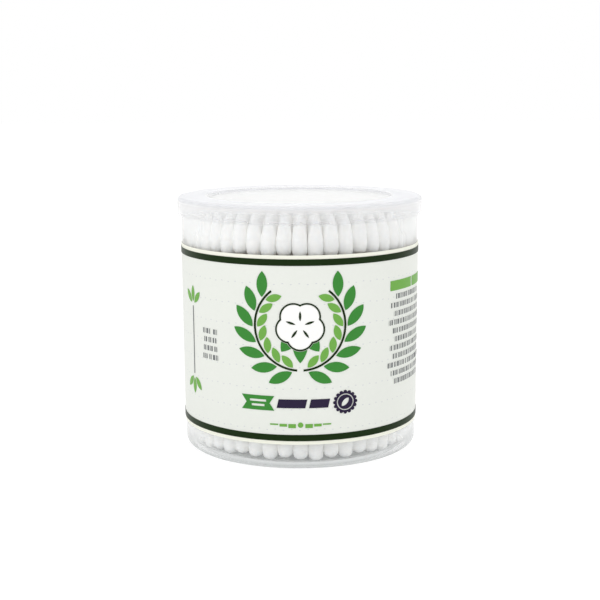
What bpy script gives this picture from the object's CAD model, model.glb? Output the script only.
"""A round clear tub packed with cotton swabs on end, under a press-on lid and behind a paper label."""
import math

import bpy
import numpy as np
from mathutils import Euler, Matrix, Vector


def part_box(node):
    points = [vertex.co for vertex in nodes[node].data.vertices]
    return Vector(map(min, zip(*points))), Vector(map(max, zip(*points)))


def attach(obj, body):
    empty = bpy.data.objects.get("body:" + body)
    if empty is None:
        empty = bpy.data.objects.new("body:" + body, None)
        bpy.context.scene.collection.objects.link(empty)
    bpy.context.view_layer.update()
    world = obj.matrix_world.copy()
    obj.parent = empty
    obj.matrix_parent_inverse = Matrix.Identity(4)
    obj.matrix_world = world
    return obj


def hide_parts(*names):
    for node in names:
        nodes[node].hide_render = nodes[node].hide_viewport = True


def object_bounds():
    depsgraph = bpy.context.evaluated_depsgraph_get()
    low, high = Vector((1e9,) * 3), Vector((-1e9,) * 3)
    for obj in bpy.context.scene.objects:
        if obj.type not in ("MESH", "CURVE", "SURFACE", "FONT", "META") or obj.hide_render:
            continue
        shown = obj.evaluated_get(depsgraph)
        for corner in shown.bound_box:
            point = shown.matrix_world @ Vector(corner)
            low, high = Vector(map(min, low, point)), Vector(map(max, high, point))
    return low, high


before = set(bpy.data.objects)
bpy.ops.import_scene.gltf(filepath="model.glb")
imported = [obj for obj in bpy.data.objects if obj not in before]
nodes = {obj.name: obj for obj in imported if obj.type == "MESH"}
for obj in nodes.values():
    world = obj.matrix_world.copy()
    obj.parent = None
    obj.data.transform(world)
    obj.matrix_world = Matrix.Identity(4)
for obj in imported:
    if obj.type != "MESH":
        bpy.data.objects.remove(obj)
cad_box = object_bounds()

# Camera
# The tub is seen from its front, from a little above the lid, with a short telephoto lens.
# Place, tilt and lens were fitted to the outlines of the lid, the label's bands and the foot.
camera_back = 0.4007
camera_up = 0.1140
camera_down_deg = 9.8
camera_roll_deg = -0.27
camera_data = bpy.data.cameras.new("camera")
camera_data.sensor_width = 36
camera_data.lens = 76.8
camera_data.clip_start = 0.01
camera = bpy.data.objects.new("camera", camera_data)
camera.location = (0, -camera_back, camera_up)
camera.rotation_mode = "QUATERNION"
camera.rotation_quaternion = (
    Euler((math.radians(90 - camera_down_deg), 0, 0)).to_matrix()
    @ Matrix.Rotation(math.radians(camera_roll_deg), 3, "Z")
).to_quaternion()
bpy.context.scene.collection.objects.link(camera)
bpy.context.scene.camera = camera

# Studio
# A white sweep without a horizon, which shows pure white to the eye and in the plastic and lights
# the tub at a plain level, and three broad soft boxes that give the cotton its form. Light is
# followed for many bounces, because it finds its way down between white buds.
bpy.context.scene.view_settings.view_transform = "Standard"
light_paths = bpy.context.scene.cycles
light_paths.max_bounces = 24
light_paths.diffuse_bounces = 16
light_paths.transparent_max_bounces = 32
world_light = 0.62
floor_size = 6.0
floor_lit = (0.9, 0.9, 0.9, 1)
floor_behind_glow = (0.16, 0.16, 0.16, 1)
floor_glow_level = 0.93
lamp_target = Vector((0, 0, 0.04))
soft_boxes = {
    "left_box": ((-0.55, -0.60, 0.45), 0.7, 2.6),
    "right_box": ((0.75, -0.30, 0.35), 0.6, 1.6),
    "top_box": ((0.05, 0.15, 0.85), 0.7, 2.2),
}


def seen_or_mirrored(tree):
    """One where a ray comes from the eye, a mirror surface or clear plastic, and nought elsewhere."""
    path = tree.nodes.new("ShaderNodeLightPath")
    either = path.outputs["Is Camera Ray"]
    for name in ("Is Glossy Ray", "Is Transmission Ray"):
        most = tree.nodes.new("ShaderNodeMath")
        most.operation = "MAXIMUM"
        tree.links.new(either, most.inputs[0])
        tree.links.new(path.outputs[name], most.inputs[1])
        either = most.outputs[0]
    return either


world = bpy.data.worlds.new("white_sweep")
world.use_nodes = True
tree = world.node_tree
tree.nodes.clear()
world_seen = tree.nodes.new("ShaderNodeBackground")
world_seen.inputs["Color"].default_value = (1, 1, 1, 1)
world_seen.inputs["Strength"].default_value = 1.0
world_lit = tree.nodes.new("ShaderNodeBackground")
world_lit.inputs["Color"].default_value = (1, 0.995, 0.985, 1)
world_lit.inputs["Strength"].default_value = world_light
world_mix = tree.nodes.new("ShaderNodeMixShader")
world_out = tree.nodes.new("ShaderNodeOutputWorld")
tree.links.new(seen_or_mirrored(tree), world_mix.inputs[0])
tree.links.new(world_lit.outputs[0], world_mix.inputs[1])
tree.links.new(world_seen.outputs[0], world_mix.inputs[2])
tree.links.new(world_mix.outputs[0], world_out.inputs["Surface"])
bpy.context.scene.world = world

floor_mesh = bpy.data.meshes.new("floor")
half = floor_size / 2
floor_mesh.from_pydata(
    [(-half, -half, 0), (half, -half, 0), (half, half, 0), (-half, half, 0)], [], [(0, 1, 2, 3)]
)
floor = bpy.data.objects.new("floor", floor_mesh)
bpy.context.scene.collection.objects.link(floor)
floor_finish = bpy.data.materials.new("white_floor")
floor_finish.use_nodes = True
tree = floor_finish.node_tree
tree.nodes.clear()
floor_seen = seen_or_mirrored(tree)
floor_tone = tree.nodes.new("ShaderNodeMix")
floor_tone.data_type = "RGBA"
floor_tone.inputs[6].default_value = floor_lit
floor_tone.inputs[7].default_value = floor_behind_glow
floor_white = tree.nodes.new("ShaderNodeBsdfDiffuse")
glow_level = tree.nodes.new("ShaderNodeMath")
glow_level.operation = "MULTIPLY"
glow_level.inputs[1].default_value = floor_glow_level
floor_glow = tree.nodes.new("ShaderNodeEmission")
floor_sum = tree.nodes.new("ShaderNodeAddShader")
floor_out = tree.nodes.new("ShaderNodeOutputMaterial")
tree.links.new(floor_seen, floor_tone.inputs["Factor"])
tree.links.new(floor_tone.outputs[2], floor_white.inputs["Color"])
tree.links.new(floor_seen, glow_level.inputs[0])
tree.links.new(glow_level.outputs[0], floor_glow.inputs["Strength"])
tree.links.new(floor_white.outputs[0], floor_sum.inputs[0])
tree.links.new(floor_glow.outputs[0], floor_sum.inputs[1])
tree.links.new(floor_sum.outputs[0], floor_out.inputs["Surface"])
floor_mesh.materials.append(floor_finish)

for name, (place, size, watts) in soft_boxes.items():
    lamp = bpy.data.lights.new(name, "AREA")
    lamp.shape = "DISK"
    lamp.size = size
    lamp.energy = watts
    box = bpy.data.objects.new(name, lamp)
    box.location = place
    box.rotation_mode = "QUATERNION"
    box.rotation_quaternion = (lamp_target - box.location).to_track_quat("-Z", "Y")
    bpy.context.scene.collection.objects.link(box)

# Tub
# One injection-moulded shell of clear polystyrene: a wall with a little draft, a rounded heel,
# a foot ring round a raised floor, and a snap bead under the rim.
base_r = 0.0366
mouth_r = 0.0370
rim_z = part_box("tub")[1].z
wall_t = 0.00105
floor_z = 0.0020
foot_h = 0.0008
heel_r = 0.0025
foot_in_r = 0.0319
upright_h = 0.0040
bead_proud = 0.00015
bead_r = 0.00035
bead_z = rim_z - 0.0016
bead_half_h = 0.0006
bead_side_deg = 58
lip_r = 0.0002
lip_h = 0.001
floor_middle_r = 0.020
turn_steps = 192


def arc(centre_r, centre_z, r, start_deg, end_deg, steps):
    """Points of a circle's arc in the (radius, height) plane: the centre plus r (cos a, sin a)."""
    a = np.radians(np.linspace(start_deg, end_deg, steps))
    return np.stack([centre_r + r * np.cos(a), centre_z + r * np.sin(a)], 1)


def turned(name, profile, steps):
    """Surface of revolution: a profile point (r, z) goes round to (r cos a, r sin a, z).
    A profile point on the axis is one pole, and the ends meet if they are the same point."""
    profile = np.asarray(profile, float)
    a = 2 * np.pi * np.arange(steps) / steps
    rings = np.stack(
        [profile[:, :1] * np.cos(a), profile[:, :1] * np.sin(a), profile[:, 1:] + 0 * a], -1
    )
    poles = profile[:, 0] < 1e-9
    size = np.where(poles, 1, steps)
    first = np.concatenate([[0], np.cumsum(size)[:-1]])
    verts = np.concatenate([ring[:1] if pole else ring for ring, pole in zip(rings, poles)])
    here = np.arange(steps)
    after = (here + 1) % steps
    faces = []
    for k in range(len(profile) - 1):
        low, high = first[k], first[k + 1]
        if poles[k]:
            faces += np.stack([low + 0 * here, high + after, high + here], 1).tolist()
        elif poles[k + 1]:
            faces += np.stack([low + here, low + after, high + 0 * here], 1).tolist()
        else:
            faces += np.stack([low + here, low + after, high + after, high + here], 1).tolist()
    mesh = bpy.data.meshes.new(name)
    mesh.from_pydata(verts.tolist(), [], faces)
    mesh.shade_smooth()
    mesh.validate()
    piece = bpy.data.objects.new(name, mesh)
    bpy.context.scene.collection.objects.link(piece)
    return piece


def wall_r(z):
    """Outer radius of the tub's wall at height z: upright near the heel, then a straight draft."""
    return base_r + (mouth_r - base_r) * np.clip((z - upright_h) / (rim_z - upright_h), 0, 1)


# The section runs from the axis under the floor, over the foot ring, up the wall, round the lip and
# down inside to the axis again. The foot ring's inner side comes down in a short curve.
inner_heel_r = heel_r - wall_t
tub_profile = np.concatenate([
    [(0, foot_h), (foot_in_r - 2 * foot_h, foot_h)],
    arc(foot_in_r - 1.2 * foot_h, foot_h * 0.6, foot_h * 0.4, 90, 20, 4),
    [(foot_in_r - foot_h * 0.15, foot_h * 0.12), (foot_in_r + foot_h * 0.2, 0)],
    arc(base_r - heel_r, heel_r, heel_r, -90, 0, 12),
    [(wall_r(z), z) for z in np.linspace(upright_h, bead_z - bead_half_h, 9)],
    arc(mouth_r + bead_proud - bead_r, bead_z, bead_r, -bead_side_deg, bead_side_deg, 9),
    [(wall_r(bead_z + bead_half_h), bead_z + bead_half_h)],
    arc(mouth_r - lip_r, rim_z - lip_r, lip_r, 0, 90, 4),
    arc(mouth_r - wall_t + lip_r, rim_z - lip_r, lip_r, 90, 180, 4),
    [(wall_r(z) - wall_t, z) for z in np.linspace(rim_z - lip_h, upright_h, 9)],
    arc(base_r - wall_t - inner_heel_r, floor_z + inner_heel_r, inner_heel_r, 0, -90, 10),
    [(floor_middle_r, floor_z), (0, floor_z)],
])
tub_shell = turned("tub_shell", tub_profile, turn_steps)
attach(tub_shell, "tub")
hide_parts("tub")


def object_noise(tree, scale, stretch=(1, 1, 1), detail=3.0):
    """Noise over the piece's own object coordinates, stretched by a Mapping node."""
    place = tree.nodes.new("ShaderNodeTexCoord")
    mapping = tree.nodes.new("ShaderNodeMapping")
    mapping.inputs["Scale"].default_value = stretch
    noise = tree.nodes.new("ShaderNodeTexNoise")
    noise.inputs["Scale"].default_value = scale
    noise.inputs["Detail"].default_value = detail
    tree.links.new(place.outputs["Object"], mapping.inputs["Vector"])
    tree.links.new(mapping.outputs["Vector"], noise.inputs["Vector"])
    return noise.outputs["Fac"]


def spread(tree, value, low, high):
    """Maps a value from 0..1 to low..high."""
    span = tree.nodes.new("ShaderNodeMapRange")
    span.inputs["To Min"].default_value = low
    span.inputs["To Max"].default_value = high
    tree.links.new(value, span.inputs["Value"])
    return span.outputs["Result"]


def bumped(tree, shader, height, distance, strength=0.5):
    """Feeds a height into the shader's normal through a Bump node."""
    bump = tree.nodes.new("ShaderNodeBump")
    bump.inputs["Strength"].default_value = strength
    bump.inputs["Distance"].default_value = distance
    tree.links.new(height, bump.inputs["Height"])
    tree.links.new(bump.outputs["Normal"], shader.inputs["Normal"])


def see_through(tree, shader, haze, edge_cover, fall):
    """Lets most light straight through a thin moulding, and gives back the tint's socket. The
    shader's own gloss and milk cover the rest: the haze face on, and more at the edges by
    (1 - cos) to the power fall, up to the edge's cover."""
    through = tree.nodes.new("ShaderNodeBsdfTransparent")
    edge = tree.nodes.new("ShaderNodeLayerWeight")
    edge.inputs["Blend"].default_value = 0.5
    steep = tree.nodes.new("ShaderNodeMath")
    steep.operation = "POWER"
    steep.inputs[1].default_value = fall
    blend = tree.nodes.new("ShaderNodeMixShader")
    tree.links.new(edge.outputs["Facing"], steep.inputs[0])
    covered = tree.nodes.new("ShaderNodeMapRange")
    for value, socket in ((haze, "To Min"), (edge_cover, "To Max")):
        if isinstance(value, float):
            covered.inputs[socket].default_value = value
        else:
            tree.links.new(value, covered.inputs[socket])
    tree.links.new(steep.outputs[0], covered.inputs["Value"])
    tree.links.new(covered.outputs["Result"], blend.inputs[0])
    tree.links.new(through.outputs[0], blend.inputs[1])
    tree.links.new(shader.outputs[0], blend.inputs[2])
    tree.links.new(blend.outputs[0], tree.nodes["Material Output"].inputs["Surface"])
    return through.inputs["Color"]


def mixed(tree, share, one, other):
    """Colour one where share is 0 and the other where it is 1."""
    mix = tree.nodes.new("ShaderNodeMix")
    mix.data_type = "RGBA"
    tree.links.new(share, mix.inputs["Factor"])
    for socket, value in ((mix.inputs[6], one), (mix.inputs[7], other)):
        if isinstance(value, tuple):
            socket.default_value = value
        else:
            tree.links.new(value, socket)
    return mix.outputs[2]


def by_height(tree, *stops):
    """Value that eases from one (height, value) stop to the next, and stays past the last."""
    place = tree.nodes.new("ShaderNodeTexCoord")
    parts = tree.nodes.new("ShaderNodeSeparateXYZ")
    share = tree.nodes.new("ShaderNodeMath")
    share.operation = "DIVIDE"
    share.inputs[1].default_value = cad_box[1].z
    ramp = tree.nodes.new("ShaderNodeValToRGB")
    ramp.color_ramp.interpolation = "EASE"
    for k, (z, value) in enumerate(stops):
        if k < 2:
            stop = ramp.color_ramp.elements[k]
        else:
            stop = ramp.color_ramp.elements.new(1)
        stop.position = z / cad_box[1].z
        stop.color = (value, value, value, 1)
    tree.links.new(place.outputs["Object"], parts.inputs[0])
    tree.links.new(parts.outputs["Z"], share.inputs[0])
    tree.links.new(share.outputs[0], ramp.inputs["Fac"])
    return ramp.outputs["Color"]


# Clear moulded polystyrene: hard gloss, with the faint waviness of a thin moulding. It lies
# thick at the floor and the foot ring, and cotton dust hazes it where the buds rub on it.
# A haze is the share of what lies behind that it hides.
label_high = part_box("label_paper")[1].z
wall_milk = (0.955, 0.963, 0.963, 1)
foot_milk = (0.93, 0.95, 0.95, 1)
wall_tint = (0.993, 0.995, 0.996, 1)
foot_tint = (0.74, 0.755, 0.755, 1)
foot_haze = 0.03
rubbed_haze = 0.18
clean_haze = 0.04
rim_haze = 0.1
foot_clear_to = 0.0045
rubbed_from = 0.0075
rubbed_to = 0.030
clean_from = 0.050
clean_to = label_high + 0.0028
rim_haze_from = label_high + 0.0055
thick_to = floor_z + 0.0006
clear_plastic = bpy.data.materials.new("clear_polystyrene")
clear_plastic.use_nodes = True
tree = clear_plastic.node_tree
shader = tree.nodes["Principled BSDF"]
shader.inputs["IOR"].default_value = 1.55
thick = by_height(tree, (foot_h, 1.0), (thick_to, 0.0))
haze = by_height(
    tree, (foot_clear_to, foot_haze), (rubbed_from, rubbed_haze), (rubbed_to, rubbed_haze),
    (clean_from, clean_haze), (clean_to, clean_haze), (rim_haze_from, rim_haze), (rim_z, rim_haze))
tree.links.new(mixed(tree, thick, wall_milk, foot_milk), shader.inputs["Base Color"])
gloss = spread(tree, object_noise(tree, scale=60), low=0.08, high=0.13)
tree.links.new(gloss, shader.inputs["Roughness"])
waves = object_noise(tree, scale=45, stretch=(1, 1, 0.35))
bumped(tree, shader, waves, distance=0.0004, strength=0.05)
tree.links.new(
    mixed(tree, thick, wall_tint, foot_tint), see_through(tree, shader, haze, edge_cover=0.9, fall=2.2))
tub_shell.data.materials.append(clear_plastic)

# Label
# A band of coated paper wrapped round the wall and glued to itself at the back, where its end
# laps over its start. It is printed in six inks.
label_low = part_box("label_paper")[0].z
label_t = 0.00015
glue_gap = 0.00005
overlap_w = 0.008
lap_ramp = 0.0025
lap_room = 1.15
steps_up = 25
steps_round = 260
edge_deg = 40
mm = 1000


def wrapped_sheet(name, start_deg, turn_deg, steps):
    """Closed band: at each angle a thin upright rectangle stands on the wall, and the last
    stretch eases outwards by one thickness so that it lies on the first. The UV map holds
    the way round and the height, both in millimetres."""
    angle = np.radians(start_deg + np.linspace(0, turn_deg, steps))
    along = (angle - angle[0]) * mouth_r
    over = 2 * np.pi * mouth_r
    ease = np.clip((along - over + lap_ramp) / lap_ramp, 0, 1)
    lift = label_t * ease * ease * (3 - 2 * ease) * lap_room
    height = np.linspace(label_low, label_high, steps_up)
    outer = wall_r(height) + glue_gap + label_t
    inner = outer[::-1] - label_t
    section_r = np.concatenate([outer, inner])
    section_z = np.concatenate([height, height[::-1]])
    r = section_r[None, :] + lift[:, None]
    grid = np.stack([
        r * np.cos(angle)[:, None],
        r * np.sin(angle)[:, None],
        np.broadcast_to(section_z, r.shape),
    ], -1)
    rows, columns = r.shape
    index = np.arange(rows * columns).reshape(rows, columns)
    after_it = np.roll(index, -1, 1)
    quads = np.stack([index[:-1], index[1:], after_it[1:], after_it[:-1]], -1).reshape(-1, 4)
    mesh = bpy.data.meshes.new(name)
    ends = [index[0].tolist(), index[-1][::-1].tolist()]
    mesh.from_pydata(grid.reshape(-1, 3).tolist(), [], quads.tolist() + ends)
    wrap = np.stack([
        np.broadcast_to(along[:, None], r.shape), np.broadcast_to(section_z, r.shape)
    ], -1).reshape(-1, 2) * mm
    corners = np.zeros(len(mesh.loops), np.int32)
    mesh.loops.foreach_get("vertex_index", corners)
    mesh.uv_layers.new(name="wrap").data.foreach_set("uv", wrap[corners].astype(np.float32).ravel())
    mesh.shade_smooth()
    mesh.set_sharp_from_angle(angle=math.radians(edge_deg))
    piece = bpy.data.objects.new(name, mesh)
    bpy.context.scene.collection.objects.link(piece)
    return piece


lap_deg = math.degrees(overlap_w / mouth_r)
label_sheet = wrapped_sheet("label_sheet", 90 - lap_deg / 2, 360 + lap_deg, steps_round)
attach(label_sheet, "tub")
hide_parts("label_paper")

# Coated paper: a greenish white with cream margins outside the bands, and a field of faint dots.
# Its lengths are in millimetres, as the UV map is.
dot_across = 4.9
dot_up = 6.2
dot_r = 0.3
dot_strength = 0.55
margin_w = 1.2
paper_tones = ((0.792, 0.816, 0.768, 1), (0.822, 0.842, 0.796, 1))
dot_tone = (0.55, 0.56, 0.62, 1)
margin_tone = (0.90, 0.905, 0.80, 1)
label_paper = bpy.data.materials.new("coated_label_paper")
label_paper.use_nodes = True
tree = label_paper.node_tree
shader = tree.nodes["Principled BSDF"]


def node_math(tree, operation, a, b=None):
    """One Math node over sockets or plain numbers."""
    step = tree.nodes.new("ShaderNodeMath")
    step.operation = operation
    for socket, value in zip(step.inputs, (a, b)):
        if isinstance(value, (int, float)):
            socket.default_value = value
        elif value is not None:
            tree.links.new(value, socket)
    return step.outputs[0]


wrap_map = tree.nodes.new("ShaderNodeUVMap")
wrap_map.uv_map = "wrap"
wrap_parts = tree.nodes.new("ShaderNodeSeparateXYZ")
tree.links.new(wrap_map.outputs["UV"], wrap_parts.inputs[0])
way, height = wrap_parts.outputs["X"], wrap_parts.outputs["Y"]
dot_row = node_math(tree, "FLOOR", node_math(tree, "DIVIDE", height, dot_up))
odd_row = node_math(tree, "MODULO", dot_row, 2)
shifted = node_math(tree, "ADD", way, node_math(tree, "MULTIPLY", odd_row, dot_across / 2))
off_way = node_math(tree, "PINGPONG", shifted, dot_across / 2)
off_up = node_math(tree, "PINGPONG", height, dot_up / 2)
away = node_math(tree, "SQRT", node_math(
    tree, "ADD", node_math(tree, "POWER", off_way, 2), node_math(tree, "POWER", off_up, 2)))
dot = node_math(tree, "LESS_THAN", away, dot_r)
label_middle = (label_low + label_high) / 2 * mm
label_reach = (label_high - label_low) / 2 * mm
from_middle = node_math(tree, "ABSOLUTE", node_math(tree, "SUBTRACT", height, label_middle))
margin = node_math(tree, "GREATER_THAN", from_middle, label_reach - margin_w)
paper_tone = spread(tree, object_noise(tree, scale=900), low=0.0, high=1.0)
paper = mixed(tree, paper_tone, *paper_tones)
dotted = mixed(tree, node_math(tree, "MULTIPLY", dot, dot_strength), paper, dot_tone)
tree.links.new(mixed(tree, margin, dotted, margin_tone), shader.inputs["Base Color"])
coating = spread(tree, object_noise(tree, scale=700), low=0.38, high=0.5)
tree.links.new(coating, shader.inputs["Roughness"])
bumped(tree, shader, object_noise(tree, scale=3000), distance=0.00003, strength=0.25)
label_sheet.data.materials.append(label_paper)

# Inks
# Six flat offset inks on the paper. Each lies in a thin film that is a little smoother than
# the paper and never quite even. The shapes are the construction's own.
inks = {
    "print_white": (0.955, 0.955, 0.93),
    "print_dark_green": (0.005, 0.019, 0.0005),
    "print_mid_green": (0.044, 0.233, 0.038),
    "print_light_green": (0.158, 0.390, 0.071),
    "print_violet": (0.022, 0.014, 0.042),
    "print_grey": (0.155, 0.165, 0.17),
}
thin_film_share = 1.12
thin_film_paper = 0.002


def letter_strokes(tree):
    """One on a small upright stroke and nought between two, so that a dash reads as a word of small
    print. A stroke is the first part of each pitch along the way round, in millimetres, plus a
    slow sine, and every line starts at its own place. The rule on the left is left whole."""
    stroke_pitch, stroke_share, rule_end = 1.0, 0.62, -37
    line_pitch, line_foot, line_shift = 0.0026, 0.0018, 0.618
    wave_turn, wave_size = 2.3, 0.22
    place = tree.nodes.new("ShaderNodeTexCoord")
    parts = tree.nodes.new("ShaderNodeSeparateXYZ")
    tree.links.new(place.outputs["Object"], parts.inputs[0])
    front = node_math(tree, "MULTIPLY", parts.outputs["Y"], -1)
    turned_by = node_math(tree, "ARCTAN2", parts.outputs["X"], front)
    way = node_math(tree, "MULTIPLY", turned_by, mouth_r * mm)
    line = node_math(tree, "FLOOR", node_math(
        tree, "DIVIDE", node_math(tree, "SUBTRACT", parts.outputs["Z"], line_foot), line_pitch))
    wave = node_math(tree, "SINE", node_math(tree, "MULTIPLY", way, wave_turn))
    wander = node_math(tree, "MULTIPLY", wave, wave_size)
    start = node_math(tree, "ADD", node_math(tree, "MULTIPLY", line, line_shift), wander)
    turn = node_math(tree, "FRACT", node_math(
        tree, "ADD", node_math(tree, "DIVIDE", way, stroke_pitch), start))
    stroke = node_math(tree, "LESS_THAN", turn, stroke_share)
    return node_math(tree, "MAXIMUM", stroke, node_math(tree, "LESS_THAN", way, rule_end))


def ink_film(name, colour):
    """Ink whose colour drifts over a fine noise to what a thinner film shows. The grey one is
    broken into strokes, with bare paper between them."""
    ink = bpy.data.materials.new(name.replace("print", "ink"))
    ink.use_nodes = True
    tree = ink.node_tree
    shader = tree.nodes["Principled BSDF"]
    shader.inputs["Specular IOR Level"].default_value = 0.1
    thin = tuple(min(1.0, c * thin_film_share + thin_film_paper) for c in colour) + (1,)
    tone = object_noise(tree, scale=1400, detail=4.0)
    full = mixed(tree, tone, colour + (1,), thin)
    if name == "print_grey":
        bare_paper = (0.807, 0.829, 0.782, 1)
        full = mixed(tree, letter_strokes(tree), bare_paper, full)
    tree.links.new(full, shader.inputs["Base Color"])
    gloss = spread(tree, object_noise(tree, scale=800), low=0.32, high=0.44)
    tree.links.new(gloss, shader.inputs["Roughness"])
    bumped(tree, shader, object_noise(tree, scale=3000), distance=0.00002, strength=0.25)
    return ink


for name, colour in inks.items():
    nodes[name].data.materials.clear()
    nodes[name].data.materials.append(ink_film(name, colour))

# Swabs
# Rings of rolled paper sticks with cotton wound and pressed on both ends: pointed above, round
# below. The outer ring shows through the wall, so its buds are made here, each a little its own.
bud_r = 0.002125
row_count = 8
swabs_in_outer_row = 46
fewer_each_row = 6
outer_row_r = 0.033305
swab_l = 0.0728
point_l = 0.0120
taper_l = 0.0090
shoulder_l = 0.0020
round_l = 0.0115
foot_gap = 0.00005
lift_most = 0.0012
touch = 0.000005
row_gap = 0.00006
shoulder_in = 0.0006
tip_r = 0.0005
nose_r = bud_r * 1.06
round_middle = round_l * 0.42
round_neck_r = 0.0015
winding_pitch = 0.0021
winding_share = 0.018
lump_share = 0.03
lump_twist = 2.2
flat_share = 0.02
flat_twist = 3
pole_gap = 0.004
size_spread = 0.015
lean_most = 0.00012


def swab_places(row):
    """Angle and foot height of each swab in a row: even turns, and lifts that go on by the golden
    ratio from swab to swab, which scatters them."""
    count = swabs_in_outer_row - fewer_each_row * (row - 1)
    i = np.arange(count)
    lift = (0.618 * i + 0.37 * row) % 1
    return 2 * np.pi * (i + 0.5 * row) / count, floor_z + foot_gap + lift_most * lift


def belly(reach, narrow):
    """Radius of the arc that bulges from narrow at both ends of its reach to the bud's radius."""
    return ((bud_r - narrow) ** 2 + reach ** 2) / (2 * (bud_r - narrow))


def pointed_r(z):
    """Radius of a pointed bud at height z over its base: a rounded shoulder, a straight body and
    a taper in one arc each, and a blunt tip. An arc's radius falls from the bud's by the
    sagitta R - sqrt(R^2 - d^2) at a distance d along the axis."""
    low = np.maximum(shoulder_l - z, 0)
    high = np.maximum(z - point_l + taper_l, 0)
    shoulder = belly(shoulder_l, bud_r - shoulder_in)
    taper = belly(taper_l - tip_r / 2, tip_r * 0.85)
    r = bud_r - (shoulder - np.sqrt(shoulder ** 2 - low ** 2)) - (taper - np.sqrt(taper ** 2 - high ** 2))
    cap_r = np.sqrt(np.maximum(tip_r ** 2 - (z - point_l + tip_r) ** 2, 0))
    return np.where(z > point_l - tip_r / 2, cap_r, r)


def round_r(z):
    """Radius of a round bud at height z over its foot: a long arc within a round nose."""
    big = belly(round_l - round_middle, round_neck_r)
    arc_r = np.sqrt(np.maximum(big ** 2 - (z - round_middle) ** 2, 0)) - (big - bud_r)
    cap_r = np.sqrt(np.maximum(nose_r ** 2 - (z - nose_r) ** 2, 0))
    return np.where(z < nose_r, np.minimum(arc_r, cap_r), arc_r)


def wound_buds(name, row, radius, length, base_z, seed, rings=22, sides=20, swell=1.12):
    """All buds of a ring as one mesh. On each, r(z) is a smooth outline, times one plus a winding
    ripple sin(turns z + a), a lump sin(a + z) and a flat sin(2 a - z), and the axis leans by a
    hair. The cotton swells until it meets its neighbours, where |y| is the distance out times
    tan(pi / count), and the wall. Both ends close in a pole."""
    rng = np.random.default_rng(seed)
    angle, foot = swab_places(row)
    count = len(angle)
    t = (1 - np.cos(np.pi * np.linspace(0, 1, rings))) / 2
    t[0], t[-1] = pole_gap, 1 - pole_gap
    z = t * length
    a = 2 * np.pi * np.arange(sides) / sides
    phase = np.pi * rng.uniform(-1, 1, (count, 3))[:, :, None, None]
    z_grid, a_grid = z[None, :, None], a[None, None, :]
    ripple = winding_share * np.sin(2 * np.pi * z_grid / winding_pitch + a_grid + phase[:, 0])
    belly_share = np.sin(np.pi * z_grid / length)
    lump = lump_share * np.sin(a_grid + phase[:, 1] + lump_twist * z_grid / length) * belly_share
    flat = flat_share * np.sin(2 * a_grid + phase[:, 2] - flat_twist * z_grid / length)
    size = swell + size_spread * rng.uniform(-1, 1, count)[:, None, None]
    r = radius(z)[None, :, None] * (size + ripple + lump + flat)
    lean = lean_most * rng.uniform(-1, 1, (count, 2))
    x = r * np.cos(a_grid) + lean[:, :1, None] * (z_grid / length) ** 2
    y = r * np.sin(a_grid) + lean[:, 1:, None] * (z_grid / length) ** 2
    row_r = outer_row_r - (row - 1) * (2 * bud_r + row_gap)
    x = np.minimum(x, base_r - wall_t - touch - row_r)
    side_room = (row_r + x) * math.tan(math.pi / count) - touch
    y = np.clip(y, -side_room, side_room)
    up = np.broadcast_to(z_grid, x.shape)
    ends_x = lean[:, :1] * np.array([[0, 1]])
    ends_y = lean[:, 1:] * np.array([[0, 1]])
    local = np.concatenate([
        np.stack([x, y, up], -1).reshape(count, -1, 3),
        np.stack([ends_x, ends_y, np.broadcast_to([0, length], ends_x.shape)], -1),
    ], 1)
    cos_turn, sin_turn = np.cos(angle)[:, None], np.sin(angle)[:, None]
    out = local[..., 0] + row_r
    verts = np.stack([
        out * cos_turn - local[..., 1] * sin_turn,
        out * sin_turn + local[..., 1] * cos_turn,
        local[..., 2] + (foot + base_z)[:, None],
    ], -1)
    per_bud = rings * sides + 2
    index = np.arange(rings * sides).reshape(rings, sides)
    after_it = np.roll(index, -1, 1)
    quads = np.stack([index[:-1], after_it[:-1], after_it[1:], index[1:]], -1).reshape(-1, 4)
    low = np.stack([after_it[0], index[0], np.full(sides, rings * sides)], -1)
    high = np.stack([index[-1], after_it[-1], np.full(sides, rings * sides + 1)], -1)
    starts = (np.arange(count) * per_bud)[:, None, None]
    faces = (quads[None] + starts).reshape(-1, 4).tolist()
    faces += (np.concatenate([low, high])[None] + starts).reshape(-1, 3).tolist()
    mesh = bpy.data.meshes.new(name)
    mesh.from_pydata(verts.reshape(-1, 3).tolist(), [], faces)
    mesh.shade_smooth()
    piece = bpy.data.objects.new(name, mesh)
    bpy.context.scene.collection.objects.link(piece)
    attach(piece, "tub")
    return piece


outer_points = wound_buds("outer_pointed_buds", 1, pointed_r, point_l, swab_l - point_l, seed=11)
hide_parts("pointed_buds_row_1")
outer_rounds = wound_buds("outer_round_buds", 1, round_r, round_l, 0, seed=12)
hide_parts("round_buds_row_1")

# Cotton: dead white, with soft light inside and fine fibres laid round the stick.
cotton = bpy.data.materials.new("wound_cotton")
cotton.use_nodes = True
tree = cotton.node_tree
shader = tree.nodes["Principled BSDF"]
shader.inputs["Roughness"].default_value = 0.95
shader.inputs["Specular IOR Level"].default_value = 0.15
shader.inputs["Sheen Weight"].default_value = 0.6
shader.inputs["Sheen Roughness"].default_value = 0.5
shader.inputs["Subsurface Weight"].default_value = 0.9
shader.inputs["Subsurface Radius"].default_value = (0.0025, 0.0024, 0.0023)
shader.inputs["Subsurface Scale"].default_value = 1.0
cotton_tones = ((0.965, 0.958, 0.94, 1), (0.995, 0.992, 0.982, 1))
fibres = object_noise(tree, scale=900, stretch=(1, 1, 3.2), detail=5.0)
tree.links.new(mixed(tree, fibres, *cotton_tones), shader.inputs["Base Color"])
bumped(tree, shader, fibres, distance=0.00018, strength=0.55)
for piece in (outer_points, outer_rounds):
    piece.data.materials.append(cotton)
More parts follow.
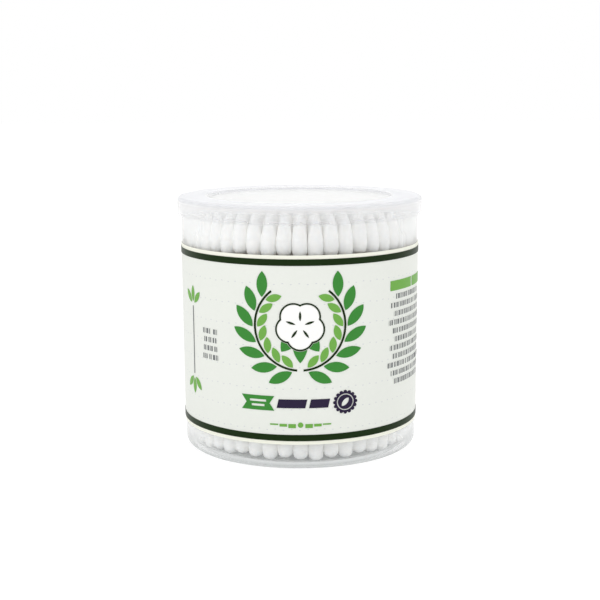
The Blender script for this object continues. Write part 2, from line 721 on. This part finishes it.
for row in range(1, row_count + 1):
    for kind in ("pointed_buds", "round_buds"):
        node = nodes[f"{kind}_row_{row}"]
        node.data.materials.clear()
        node.data.materials.append(cotton)

# Sticks: rolled paper, a warm off-white in fine bands round the stick, as the paper is wound.
stick_paper = bpy.data.materials.new("rolled_stick_paper")
stick_paper.use_nodes = True
tree = stick_paper.node_tree
shader = tree.nodes["Principled BSDF"]
shader.inputs["Roughness"].default_value = 0.75
stick_tones = ((0.60, 0.50, 0.38, 1), (0.70, 0.61, 0.48, 1))
rolled = object_noise(tree, scale=500, stretch=(1, 1, 6), detail=4.0)
tree.links.new(mixed(tree, rolled, *stick_tones), shader.inputs["Base Color"])
bumped(tree, shader, rolled, distance=0.00005, strength=0.4)
for row in range(1, row_count + 1):
    node = nodes[f"sticks_row_{row}"]
    node.data.materials.clear()
    node.data.materials.append(stick_paper)

# Lid
# A press-on disc of milky polypropylene, moulded in one: a raised outer ring, a recessed centre
# panel and a short skirt that runs down outside the rim and the snap bead.
lid_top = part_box("lid")[1].z
lid_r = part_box("lid")[1].x
skirt_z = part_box("lid")[0].z
lid_t = 0.00095
skirt_t = 0.0008
ring_w = 0.0093
recess_r = lid_r - ring_w
recess_d = 0.0010
lid_edge_r = 0.0011
soft_r = 0.0003
panel_middle_r = 0.014
lid_profile = np.concatenate([
    [(0, lid_top - recess_d - lid_t), (recess_r + lid_t - soft_r, lid_top - recess_d - lid_t)],
    [(recess_r + lid_t, lid_top - recess_d - lid_t + soft_r)],
    arc(recess_r + lid_t + soft_r, lid_top - lid_t - soft_r, soft_r, 180, 90, 4),
    arc(lid_r - skirt_t - soft_r, lid_top - lid_t - soft_r, soft_r, 90, 0, 4),
    [(lid_r - skirt_t, z) for z in np.linspace(rim_z - lip_h, skirt_z + soft_r, 3)],
    arc(lid_r - skirt_t / 2, skirt_z + skirt_t / 2, skirt_t / 2, 180, 360, 7),
    arc(lid_r - lid_edge_r, lid_top - lid_edge_r, lid_edge_r, 0, 90, 9),
    arc(recess_r + soft_r, lid_top - soft_r, soft_r, 90, 180, 4),
    arc(recess_r - soft_r, lid_top - recess_d + soft_r, soft_r, 0, -90, 4),
    [(panel_middle_r, lid_top - recess_d), (0, lid_top - recess_d)],
])
lid_shell = turned("lid_shell", lid_profile, turn_steps)
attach(lid_shell, "lid")
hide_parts("lid")

# Milky moulded polypropylene, told apart by radius and height: a clear panel that only gathers
# its milk where it is seen slantwise, a ring that is duller and bluer, and a skirt that is
# thinner and clearer towards its edge. Milk is the share hidden face on, and cover slantwise.
panel_tone = (0.875, 0.882, 0.878, 1)
skirt_tone = (0.95, 0.955, 0.96, 1)
ring_tone = (0.83, 0.838, 0.865, 1)
lid_tint = (0.99, 0.99, 0.993, 1)
milk_depth = 0.0010
ring_dullness = 0.3
panel_milk = 0.1
panel_cover = 0.98
skirt_fade = skirt_z + 0.0016
ring_under = lid_top - lid_t
ring_from = lid_top - 1.7 * lid_t
ring_full = lid_top - 0.9 * lid_t
milky_plastic = bpy.data.materials.new("milky_polypropylene")
milky_plastic.use_nodes = True
tree = milky_plastic.node_tree
shader = tree.nodes["Principled BSDF"]
shader.inputs["IOR"].default_value = 1.45
shader.inputs["Subsurface Weight"].default_value = 0.25
shader.inputs["Subsurface Radius"].default_value = (milk_depth, milk_depth, milk_depth)
shader.inputs["Subsurface Scale"].default_value = 1.0
place = tree.nodes.new("ShaderNodeTexCoord")
flat = tree.nodes.new("ShaderNodeVectorMath")
flat.operation = "MULTIPLY"
flat.inputs[1].default_value = (1, 1, 0)
reach = tree.nodes.new("ShaderNodeVectorMath")
reach.operation = "LENGTH"
outside = tree.nodes.new("ShaderNodeMapRange")
outside.inputs["From Min"].default_value = recess_r
outside.inputs["From Max"].default_value = recess_r + lid_t
plate = by_height(tree, (ring_from, 0.0), (ring_full, 1.0))
ring = tree.nodes.new("ShaderNodeMath")
ring.operation = "MULTIPLY"
dulled = tree.nodes.new("ShaderNodeMath")
dulled.operation = "MULTIPLY_ADD"
dulled.inputs[1].default_value = ring_dullness
tree.links.new(place.outputs["Object"], flat.inputs[0])
tree.links.new(flat.outputs[0], reach.inputs[0])
tree.links.new(reach.outputs["Value"], outside.inputs["Value"])
tree.links.new(outside.outputs["Result"], ring.inputs[0])
tree.links.new(plate, ring.inputs[1])
panel_or_skirt = mixed(tree, outside.outputs["Result"], panel_tone, skirt_tone)
tree.links.new(mixed(tree, ring.outputs[0], panel_or_skirt, ring_tone), shader.inputs["Base Color"])
tree.links.new(ring.outputs[0], dulled.inputs[0])
tree.links.new(spread(tree, object_noise(tree, scale=400), low=0.2, high=0.3), dulled.inputs[2])
tree.links.new(dulled.outputs[0], shader.inputs["Roughness"])
bumped(tree, shader, object_noise(tree, scale=120), distance=0.00005, strength=0.04)
skirt_milk = by_height(
    tree, (skirt_z, 0.03), (skirt_fade, 0.1), (ring_under - lid_t, 0.2), (ring_under, 0.26))
skirt_cover = by_height(tree, (skirt_z, 0.12), (skirt_fade, 0.6), (ring_under, 0.97))
milk = tree.nodes.new("ShaderNodeMapRange")
milk.inputs["To Min"].default_value = panel_milk
cover = tree.nodes.new("ShaderNodeMapRange")
cover.inputs["To Min"].default_value = panel_cover
for part, value in ((milk, skirt_milk), (cover, skirt_cover)):
    tree.links.new(outside.outputs["Result"], part.inputs["Value"])
    tree.links.new(value, part.inputs["To Max"])
tint = see_through(tree, shader, milk.outputs["Result"], cover.outputs["Result"], fall=3)
tint.default_value = lid_tint
lid_shell.data.materials.append(milky_plastic)
